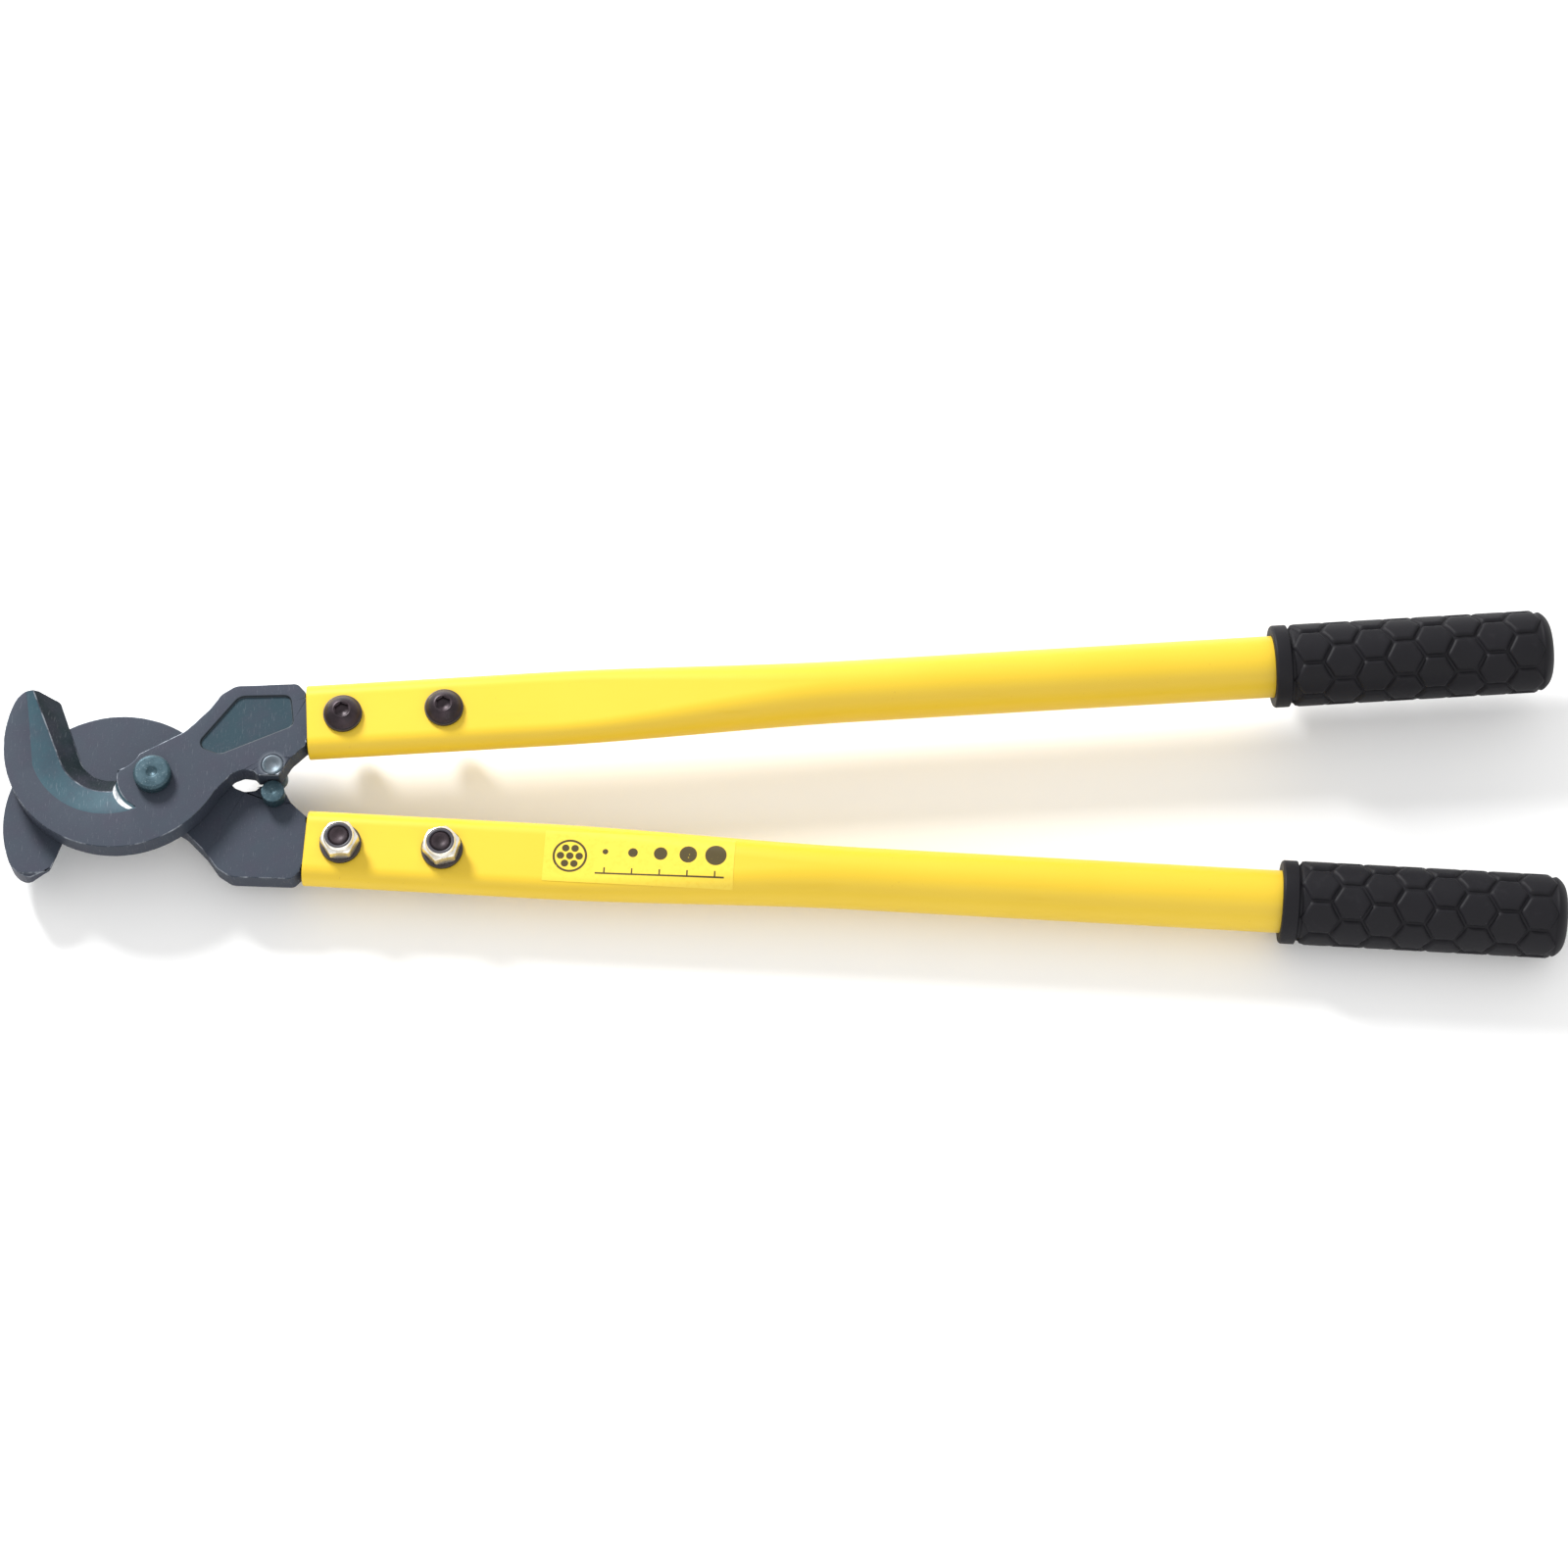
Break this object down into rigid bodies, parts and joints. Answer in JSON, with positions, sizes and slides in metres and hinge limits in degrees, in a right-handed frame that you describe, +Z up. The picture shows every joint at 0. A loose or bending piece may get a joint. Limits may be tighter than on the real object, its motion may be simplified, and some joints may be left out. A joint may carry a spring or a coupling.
{
  "type": "long-arm cable cutter",
  "caption": "Long-arm bypass cable cutter: twin hook blades on a pivot bolt with stop pins, bolted into painted tube handles with moulded rubber grips.",
  "frame": {"origin": "on the pivot axis, in the plane that the tool lies on, at the free end of the pivot bolt", "axes": "+X from the pivot towards the grips, +Y towards the upper handle, +Z up along the pivot axis, out of the front blade"},
  "size_m": [0.5984, 0.138, 0.0422],
  "materials": {
    "blade_steel": "dark purple-grey phosphate, satin",
    "pin_steel": "turned steel, lightly blued",
    "dark_washer": "black oxide",
    "zinc_nut": "zinc plated, warm tint",
    "nylon_insert": "dark blue nylon",
    "handle_paint": "glossy yellow enamel",
    "black_screw": "black oxide",
    "grip_rubber": "moulded black rubber with raised pads"
  },
  "bodies": {
    "lower_half": {"rear_blade": "blade_steel", "rear_stop_pin": "pin_steel", "pivot_bolt": "pin_steel", "pivot_washer": "dark_washer", "pivot_nut": "zinc_nut", "pivot_nut_insert": "nylon_insert", "lower_handle_tube": "handle_paint", "lower_handle_screws": "black_screw", "lower_screw_washers": "dark_washer", "lower_nut_washers": "dark_washer", "lower_handle_nuts": "zinc_nut", "lower_nut_inserts": "nylon_insert", "lower_grip": "grip_rubber"},
    "upper_half": {"front_blade": "blade_steel", "front_stop_pin": "pin_steel", "upper_handle_tube": "handle_paint", "upper_handle_screws": "black_screw", "upper_screw_washers": "dark_washer", "upper_nut_washers": "dark_washer", "upper_handle_nuts": "zinc_nut", "upper_nut_inserts": "nylon_insert", "upper_grip": "grip_rubber"}
  },
  "joints": [
    {"name": "pivot", "type": "hinge", "parent": "lower_half", "child": "upper_half", "pos_m": [0, 0, 0.0211], "axis": [0, 0, 1], "range_deg": [0, 120]}
  ]
}
